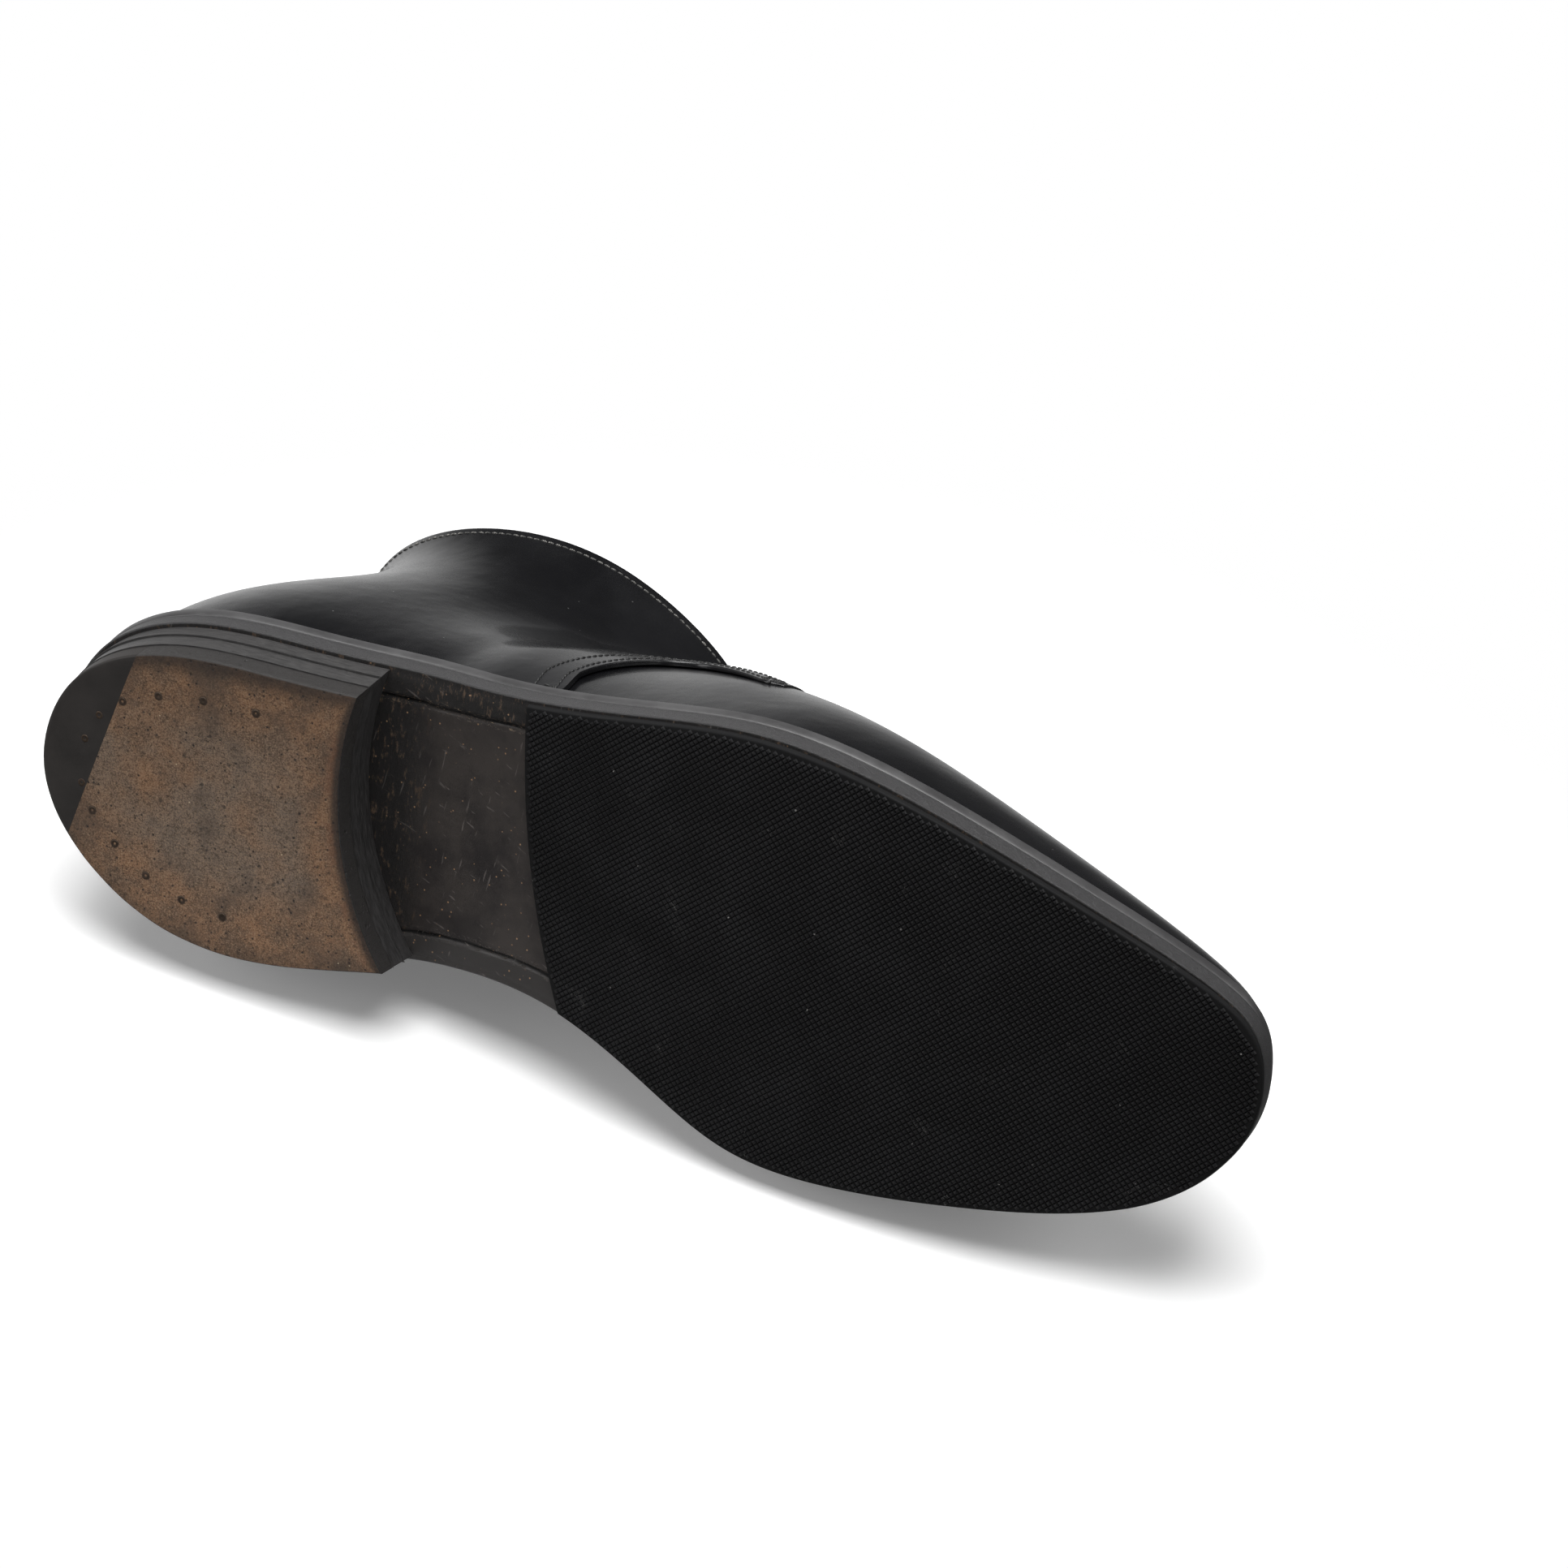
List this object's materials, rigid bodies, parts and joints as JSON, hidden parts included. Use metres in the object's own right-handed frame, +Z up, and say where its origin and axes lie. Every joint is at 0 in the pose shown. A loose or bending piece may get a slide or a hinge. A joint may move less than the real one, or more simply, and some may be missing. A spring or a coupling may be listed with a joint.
{
  "type": "ankle boot",
  "caption": "Right-foot welted derby ankle boot with a hinged tongue, a rubber half-sole and a stacked heel with a rubber corner.",
  "frame": {"origin": "centre of the bounding box's bottom, on the ground", "axes": "+X to the toe, +Y to the inner side of the foot, +Z up"},
  "size_m": [0.3015, 0.1067, 0.1211],
  "materials": {
    "upper_leather": "polished",
    "lining_leather": "matt",
    "stiffener": "matt",
    "eyelet_metal": "satin",
    "insole_leather": "matt",
    "cork": "matt",
    "shank_steel": "satin",
    "welt_leather": "waxed",
    "sole_leather": "worn",
    "sole_rubber": "matt",
    "heel_leather": "waxed",
    "leatherboard": "worn",
    "tip_rubber": "worn",
    "nail_steel": "worn"
  },
  "bodies": {
    "boot": {"vamp": "upper_leather", "quarter_lateral": "upper_leather", "quarter_medial": "upper_leather", "backstay": "upper_leather", "vamp_lining": "lining_leather", "quarter_lining_lateral": "lining_leather", "quarter_lining_medial": "lining_leather", "heel_counter": "stiffener", "toe_puff": "stiffener", "eyelets_lateral": "eyelet_metal", "eyelets_medial": "eyelet_metal", "sock_liner": "lining_leather", "insole": "insole_leather", "insole_rib": "insole_leather", "cork_filler": "cork", "shank": "shank_steel", "welt": "welt_leather", "outsole": "sole_leather", "half_sole": "sole_rubber", "heel_lift_upper": "heel_leather", "heel_lift_lower": "heel_leather", "top_piece": "leatherboard", "rubber_tip": "tip_rubber", "top_piece_nails": "nail_steel", "heel_nails": "nail_steel"},
    "tongue": {"tongue": "upper_leather"}
  },
  "joints": [
    {"name": "tongue_swing", "type": "hinge", "parent": "boot", "child": "tongue", "pos_m": [0.019, 0.0015, 0.071], "axis": [0, 1, 0], "range_deg": [-18, 0]}
  ]
}
